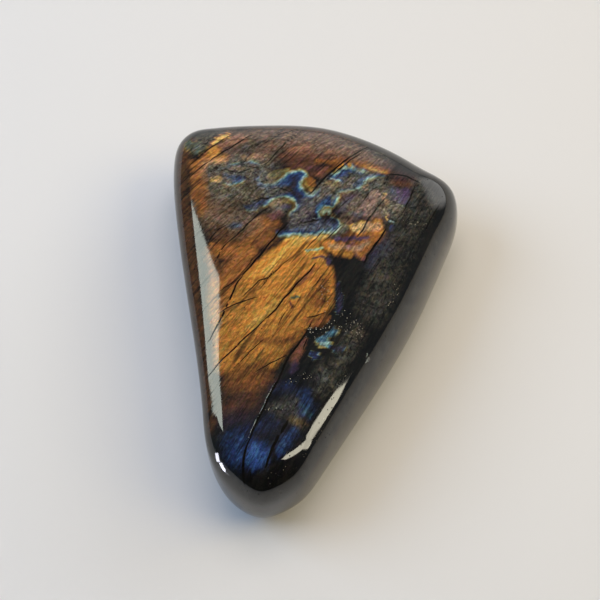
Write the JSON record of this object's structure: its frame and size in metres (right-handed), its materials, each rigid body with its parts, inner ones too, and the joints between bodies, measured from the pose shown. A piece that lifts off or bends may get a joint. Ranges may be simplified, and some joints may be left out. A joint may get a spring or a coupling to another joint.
{
  "type": "labradorite freeform",
  "caption": "Polished freeform of dark labradorite: a hand-sized rounded wedge with a broad top, a narrow tip, a domed face and a flat back to rest on.",
  "frame": {"origin": "middle of the outline on the flat back, which is the plane z = 0", "axes": "+Z out of the polished face, +Y along the stone from its narrow tip to its broad top, +X to the right when facing the polished face with the tip down"},
  "size_m": [0.064, 0.0876, 0.026],
  "materials": {
    "polished_labradorite": "high polish over dark feldspar with a golden, blue and violet sheen"
  },
  "bodies": {
    "root": {"stone": "polished_labradorite"}
  },
  "joints": []
}
